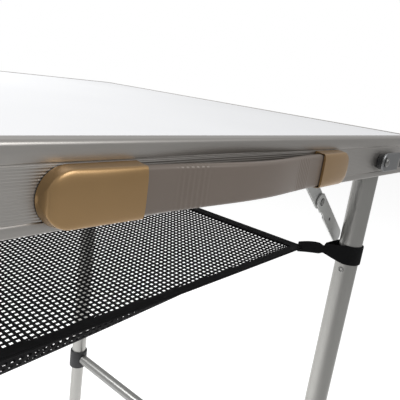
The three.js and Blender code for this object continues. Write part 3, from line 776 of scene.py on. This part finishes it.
for label, side in SIDES:
    for place, sideY in PLACES:
        for link, outline, start in (
            ("upper", upper_link(UPPER), 0.0), ("lower", lower_link(STAY - UPPER), UPPER),
        ):
            low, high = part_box(f"brace_{link}_{label}_{place}")
            back, front = (high.y, low.y) if sideY < 0 else (low.y, high.y)
            shape = plate(place_link(outline, side, start), back, front, 0.3 * MM)
            body = f"{link}_link_{label}_{place}"
            piece = make_piece(f"stay_{link}_{label}_{place}", *shape, link_metal, body, "aluminium")
            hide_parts(f"brace_{link}_{label}_{place}")
        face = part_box(f"brace_lower_{label}_{place}")[0 if sideY < 0 else 1].y
        axis = "near" if sideY < 0 else "far"
        knee, hole_shade_at = place_link([(0, 0), (32 * MM, 0.5 * MM)], side, UPPER)
        body = f"lower_link_{label}_{place}"
        # painted shadow: this thin black disc, wider than the rivet's washer, is the dark ring of shade round
        # the knee rivet
        shadow = [(0, -0.1 * MM), (3.9 * MM, -0.1 * MM), (3.9 * MM, 0.12 * MM), (0, 0.14 * MM)]
        shape = turned(shadow, (knee[0], face, knee[1]), axis, 32)
        make_piece(f"knee_painted_shadow_{label}_{place}", *shape, black_plastic, body, "black_plastic")
        washer = [(0, 0), (3.1 * MM, 0), (3.1 * MM, 0.35 * MM), (2.8 * MM, 0.5 * MM), (2.4 * MM, 0.2 * MM)]
        knob = [(2.2 * MM * cos(a), 0.2 * MM + 1.1 * MM * sin(a)) for a in np.linspace(0, pi / 2, 7)]
        shape = turned([*washer, *knob[:-1], (0, 1.3 * MM)], (knee[0], face, knee[1]), axis, 32)
        make_piece(f"knee_rivet_{label}_{place}", *shape, rivet_metal, body, "steel")
        # painted shade: a thin black disc stands for the dark of a punched hole, and the link itself is not
        # pierced
        ring = [(0, -0.4 * MM), (1.6 * MM, -0.4 * MM), (1.6 * MM, 0.05 * MM), (0, 0.06 * MM)]
        shape = turned(ring, (hole_shade_at[0], face, hole_shade_at[1]), axis, 24)
        make_piece(f"hole_painted_shade_{label}_{place}", *shape, black_plastic, body, "aluminium")
print("braces made")

# %% [markdown]
# The net is a knitted mesh. It is modelled thread by thread: a grid of lines where narrow strips are thread
# and the squares between them are holes, with a front, a back and the hole walls, so light really passes.
# Its height at (x, y) is the rim's gentle sag plus a belly that drops steeply just inside the rim.

# %% Net surface
NET_LOW, NET_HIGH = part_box("net_right")
NET_END = NET_HIGH.x
NET_OUT = (NET_HIGH.y - NET_LOW.y) / 2
RIM_Z = NET_HIGH.z
RIM_SAG = 4 * MM
TAPE = 8.2 * MM  # width of the tape along a long rim
BELLY = 36 * MM  # how far the net hangs below its rims
MESH_PITCH = 5.1 * MM
THREAD = 2.3 * MM


def net_height(x, y):
    """Rim height minus sag: the rim sags as 1 - (x / end)^2, the belly is that share times 1 - |y / in|^24,
    where in is the tape's inner edge."""
    share = 1 - np.clip(np.abs(x) / NET_END, 0, 1) ** 2
    belly = 1 - np.clip(np.abs(y - MIDDLE_Y) / (NET_OUT - TAPE), 0, 1) ** 24
    return RIM_Z - RIM_SAG * share - BELLY * share * belly


def thread_lines(start, end):
    """Line places from start to end: a thread's two edges, then the next thread's, a pitch further on."""
    count = round((end - start - THREAD) / MESH_PITCH)
    first = np.linspace(start, end - THREAD, count + 1)
    return np.stack([first, first + THREAD], -1).ravel()


def lines_along_belly():
    """Line places across the net, spaced along its curve in the middle of a half rather than along y."""
    y = np.linspace(MIDDLE_Y - NET_OUT, MIDDLE_Y + NET_OUT, 4001)
    z = net_height(np.full_like(y, 0.3), y)
    run = np.concatenate([[0], np.cumsum(np.hypot(np.diff(y), np.diff(z)))])
    return np.interp(thread_lines(0, run[-1]), run, y)


def lattice(x_lines, y_lines, first, thickness):
    """Points and quads of the mesh between two sets of lines. A cell whose number is odd both ways is a hole.
    The two faces stand half a thickness off the surface, along its normal."""
    x, y = np.meshgrid(x_lines, y_lines, indexing="ij")
    step = 0.01 * MM
    slope_x = (net_height(x + step, y) - net_height(x - step, y)) / (2 * step)
    slope_y = (net_height(x, y + step) - net_height(x, y - step)) / (2 * step)
    normal = np.stack([-slope_x, -slope_y, np.ones_like(x)], -1)
    normal *= thickness / 2 / np.linalg.norm(normal, axis=-1, keepdims=True)
    surface = np.stack([x, y, net_height(x, y)], -1)
    front, back = (surface + normal).reshape(-1, 3), (surface - normal).reshape(-1, 3)
    rows, columns = len(x_lines), len(y_lines)
    i, j = np.meshgrid(np.arange(rows - 1) + first, np.arange(columns - 1), indexing="ij")
    kept = (i % 2 == 0) | (j % 2 == 0)
    quads = grid_quads(rows, columns)[kept.ravel()]
    offset = rows * columns
    ringed = np.pad(kept, 1)
    number = np.arange(offset).reshape(rows, columns)
    a, b = np.nonzero(ringed[1:, 1:-1] != ringed[:-1, 1:-1])
    along_y = np.stack([number[a, b], number[a, b + 1]], -1)
    a, b = np.nonzero(ringed[1:-1, 1:] != ringed[1:-1, :-1])
    along_x = np.stack([number[a, b], number[a + 1, b]], -1)
    edges = np.concatenate([along_y, along_x])
    walls = np.stack([edges[:, 0], edges[:, 1], edges[:, 1] + offset, edges[:, 0] + offset], -1)
    return np.concatenate([front, back]), np.concatenate([quads, quads[:, ::-1] + offset, walls])


# %% [markdown]
# The mesh is cut in three at thread edges: a middle part and an outer part on each side. Neighbours share
# the cut's points, so they join without a gap.

# %% Net pieces
NET_X = thread_lines(-NET_END, NET_END)
NET_Y = lines_along_belly()
MIDDLE_PART = 200 * MM
MESH_THICK = 0.4 * MM
cut_low = int(np.searchsorted(NET_X, -MIDDLE_PART))
cut_high = len(NET_X) - 1 - cut_low
parts = {"left": (0, cut_low), "middle": (cut_low, cut_high), "right": (cut_high, len(NET_X) - 1)}
net_parts = {}
for part, (first, last) in parts.items():
    shape = lattice(NET_X[first:last + 1], NET_Y, first, MESH_THICK)
    net_parts[part] = make_piece(f"mesh_{part}", *shape, net_yarn, None, "net", 60, weld=0)
    print("mesh", part, len(net_parts[part].data.polygons), "faces")
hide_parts("net_right")
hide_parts("net_left")


# %% [markdown]
# A tape is sewn round the net's edge. Its section is a flat strip a little thicker than the mesh, folded
# over it, and it follows the rim's own sag.


# %% Net tape
TAPE_THICK = 2.2 * MM
EASE = 0.3 * MM  # the tape reaches this far outside the mesh


def strip(path, across, thickness, corner=0.5 * MM):
    """A flat strip along a path: each path point has a vector to its other edge, and the strip is rounded."""
    path, across = np.array(path, float), np.array(across, float)
    ahead = np.gradient(path, axis=0)
    normal = np.cross(ahead, across)
    normal /= np.linalg.norm(normal, axis=1, keepdims=True)
    width = np.linalg.norm(across, axis=1, keepdims=True)
    side = across / width
    h = thickness / 2
    section = [
        (0, -h + corner), (corner, -h), (1, -h), (1, -h + corner),
        (1, h - corner), (1, h), (corner, h), (0, h - corner),
    ]
    rings = []
    for u, v in section:
        inset = side * u if u < 1 and u > 0 else 0
        if u == 1:
            rings.append(path + side * (width - (corner if abs(v) == h else 0)) + normal * v)
        else:
            rings.append(path + inset + normal * v)
    points = np.stack(rings, axis=1)
    rows, columns = points.shape[:2]
    faces = [list(f) for f in grid_quads(rows, columns, wrap_columns=True)]
    return points, [*faces, list(range(columns)), [(rows - 1) * columns + k for k in range(columns)]]


def rim_strip(x_start, x_end, sideY):
    """The tape along a long rim."""
    x = np.linspace(x_start, x_end, max(2, int(abs(x_end - x_start) / (8 * MM))))
    outer = MIDDLE_Y + sideY * (NET_OUT + EASE)
    z = RIM_Z - RIM_SAG * (1 - (np.abs(x) / NET_END) ** 2)
    path = np.stack([x, np.full_like(x, outer), z], -1)
    tilt = np.stack([np.zeros_like(x), np.full_like(x, -sideY * TAPE), np.zeros_like(x)], -1)
    return strip(path, tilt, TAPE_THICK)


def end_strip(side):
    """The tape along a short rim, half as wide again."""
    y = np.linspace(MIDDLE_Y - NET_OUT - EASE, MIDDLE_Y + NET_OUT + EASE, 60)
    path = np.stack([np.full_like(y, side * (NET_END + EASE)), y, np.full_like(y, RIM_Z)], -1)
    tilt = np.tile([-side * TAPE * 1.5, 0, -1 * MM], (len(y), 1))
    return strip(path, tilt, TAPE_THICK)


tapes = {"left": [], "middle": [], "right": []}
CUT_LOW, CUT_HIGH = NET_X[cut_low], NET_X[cut_high]
for place, sideY in PLACES:
    spans = {
        "left": (-NET_END - EASE, CUT_LOW),
        "middle": (CUT_LOW, CUT_HIGH),
        "right": (CUT_HIGH, NET_END + EASE),
    }
    for part, (x_start, x_end) in spans.items():
        shape = rim_strip(x_start, x_end, sideY)
        piece = make_piece(f"tape_{part}_{place}", *shape, webbing, None, "webbing", 40)
        tapes[part].append(piece)
for label, side in SIDES:
    tapes[label].append(make_piece(f"tape_{label}_end", *end_strip(side), webbing, None, "webbing", 40))

for piece in [net_parts["middle"], *tapes["middle"]]:
    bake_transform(piece)
for label, side in SIDES:
    for piece in [net_parts[label], *tapes[label]]:
        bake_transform(piece)
for part, piece in net_parts.items():
    first, last = parts[part]

# %% [markdown]
# A loop of webbing goes round each leg and is sewn to a short tab at the net's corner. Seen from above the
# loop is a teardrop: most of a circle about the leg, and two straight strands that meet at the tab.

# %% Webbing loops
LOOP_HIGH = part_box("webbing_loop_right_near")[1].z
LOOP_WIDTH = 20 * MM
STRAP_THICK = 1.6 * MM
LOOP_RADIUS = LEG_RADIUS + 0.9 * MM
TAB_AT = 27 * MM  # from the leg's middle to where the strands meet


def teardrop(centre, target, radius, reach):
    """The loop's middle line: from the meeting point along one tangent, round the leg and back."""
    centre, target = np.array(centre), np.array(target)
    ahead = (target - centre) / np.linalg.norm(target - centre)
    beside = np.array([-ahead[1], ahead[0]])
    open_angle = np.arccos(radius / reach)
    angle = np.linspace(open_angle, TURN - open_angle, 46)
    rings = centre + radius * (np.cos(angle)[:, None] * ahead + np.sin(angle)[:, None] * beside)
    meet = centre + reach * ahead
    share = np.linspace(0, 1, 10)[:, None][:-1]
    first = (meet + beside * 1.0 * MM) * (1 - share) + rings[0] * share
    last = rings[-1] * (1 - share[::-1]) + (meet - beside * 1.0 * MM) * share[::-1]
    last = last[np.argsort(np.linalg.norm(last - rings[-1], axis=1))][1:]
    return np.concatenate([first, rings, last]), meet


def loop_shape(side, sideY):
    """A band that stands upright on the teardrop. It narrows from its full width to the gathered tab."""
    centre = (side * LEG_X, MIDDLE_Y + sideY * LEG_OUT)
    corner = (side * NET_END, MIDDLE_Y + sideY * NET_OUT)
    line, meet = teardrop(centre, corner, LOOP_RADIUS, TAB_AT)
    near_tab = np.clip(1 - np.linalg.norm(line - meet, axis=1) / (TAB_AT - LOOP_RADIUS * 0.4), 0, 1)
    width = LOOP_WIDTH * (1 - 0.52 * near_tab**1.2)
    low = LOOP_HIGH - LOOP_WIDTH + (LOOP_WIDTH - width) * 0.62
    path = np.concatenate([line, low[:, None]], axis=1)
    across = np.stack([np.zeros(len(line)), np.zeros(len(line)), width], -1)
    return strip(path, across, STRAP_THICK)


def tab_shape(side, sideY):
    """A gathered strip from the loop to the net's corner, arched a little and thinner at the seam."""
    centre = np.array((side * LEG_X, MIDDLE_Y + sideY * LEG_OUT))
    corner = np.array((side * (NET_END - 5 * MM), MIDDLE_Y + sideY * (NET_OUT - 4 * MM)))
    ahead = (corner - centre) / np.linalg.norm(corner - centre)
    t = np.linspace(0, 1, 24)
    start = centre + ahead * (TAB_AT - 3 * MM)
    line = start + (corner - start) * t[:, None]
    pinch = np.exp(-((t - 0.12) / 0.09) ** 2)
    width = 10.5 * MM + 1.5 * MM * np.sin(pi * t) - 3.2 * MM * pinch
    arch = 1.2 * MM * np.sin(pi * t)
    low = RIM_Z - 5 * MM + arch - (width - 10.5 * MM) / 2
    path = np.concatenate([line, low[:, None]], axis=1)
    across = np.stack([np.zeros_like(t), np.zeros_like(t), width], -1)
    return strip(path, across, 4.2 * MM, 1.2 * MM)


for label, side in SIDES:
    for place, sideY in PLACES:
        name = f"{label}_{place}"
        loop = make_piece(f"loop_{name}", *loop_shape(side, sideY), webbing, None, "webbing", 40)
        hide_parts(f"webbing_loop_{name}")
        tab = make_piece(f"tab_{name}", *tab_shape(side, sideY), webbing, None, "webbing", 40)
        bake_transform(loop)
        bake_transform(tab)
print("loops and tabs made")

# %% [markdown]
# The stage is a pale floor under a sky. The floor's near side is darker, a painted shade that gives the
# table's near faces less light from below, and the floor glows a little, a painted light, for it is no lamp.
# The camera sees the sky as plain white, and everything else sees it brightest in one direction, from which
# it fades. A soft lamp close above the far side lights the top, and a larger one further off fills the near
# side.


# %% Stage and light
def lamp(name, place, target, size, power):
    """A square area lamp that faces a point."""
    data = bpy.data.lights.new(name, "AREA")
    data.size, data.energy = size, power
    lamp_object = bpy.data.objects.new(name, data)
    lamp_object.location = place
    lamp_object.rotation_euler = (Vector(target) - Vector(place)).to_track_quat("-Z", "Y").to_euler()
    bpy.context.scene.collection.objects.link(lamp_object)


SOFTBOX = (-0.1, 0.6, 0.79)  # the direction of the brightest sky
GLOW_FROM_TO = (-0.45, 1.0)  # how far round from it the sky fades
GLOW_LEVELS = (0.35, 0.62)
FLOOR = 12.0  # half the floor's width
# painted shade: between these y places the floor's colour turns from a dark near side to pale
FLOOR_SHADE_FROM_TO = (-0.9, -0.1)  # y places between which the floor turns from dark to pale
floor_finish = Finish("pale_floor", Roughness=0.9, Emission_Strength=0.45)
floor_place = floor_finish.add("ShaderNodeSeparateXYZ", {}, {0: floor_finish.places()}, output=1)
fade = dict(zip(range(1, 5), (*FLOOR_SHADE_FROM_TO, 0.0, 1.0)))
floor_shade_and_glow = floor_finish.add("ShaderNodeMapRange", {}, {0: floor_place, **fade})
# painted shade: the floor's base colour is darker on its near side
floor_finish.shade(Base_Color=floor_finish.mix(floor_shade_and_glow, (0.54, 0.54, 0.54), (0.90, 0.90, 0.90)))
# painted light: the floor glows, most where it is pale, though it is no lamp
floor_finish.shade(Emission_Color=floor_finish.mix(floor_shade_and_glow, (0.15, 0.15, 0.15), (1.0, 1.0, 1.0)))
floor_mesh = bpy.data.meshes.new("floor")
floor_corners = [(-FLOOR, -FLOOR, 0), (FLOOR, -FLOOR, 0), (FLOOR, FLOOR, 0), (-FLOOR, FLOOR, 0)]
floor_mesh.from_pydata(floor_corners, [], [(0, 1, 2, 3)])
floor_mesh.materials.append(floor_finish.material)
floor_object = bpy.data.objects.new("floor", floor_mesh)
bpy.context.scene.collection.objects.link(floor_object)
world = bpy.data.worlds.new("sky")
world.use_nodes = True
sky = world.node_tree
backdrop = sky.nodes["Background"]
outwards = sky.nodes.new("ShaderNodeTexCoord")
facing = sky.nodes.new("ShaderNodeVectorMath")
facing.operation = "DOT_PRODUCT"
facing.inputs[1].default_value = SOFTBOX
glow = sky.nodes.new("ShaderNodeMapRange")
for socket, value in zip(glow.inputs[1:5], (*GLOW_FROM_TO, *GLOW_LEVELS)):
    socket.default_value = value
seen = sky.nodes.new("ShaderNodeLightPath")
shown = sky.nodes.new("ShaderNodeMix")
shown.data_type = "RGBA"
shown.inputs[7].default_value = (1, 1, 1, 1)
sky.links.new(outwards.outputs["Generated"], facing.inputs[0])
sky.links.new(facing.outputs["Value"], glow.inputs[0])
sky.links.new(glow.outputs[0], shown.inputs[6])
sky.links.new(seen.outputs["Is Camera Ray"], shown.inputs[0])
sky.links.new(shown.outputs[2], backdrop.inputs["Color"])
bpy.context.scene.world = world
bpy.context.scene.view_settings.view_transform = "Standard"
lamp("key_lamp", (-0.1, 0.55, 1.25), (0.15, 0.15, 0.7), 0.5, 9)
lamp("fill_lamp", (0.9, -2.2, 2.4), (0.2, 0, 0.6), 1.2, 26)
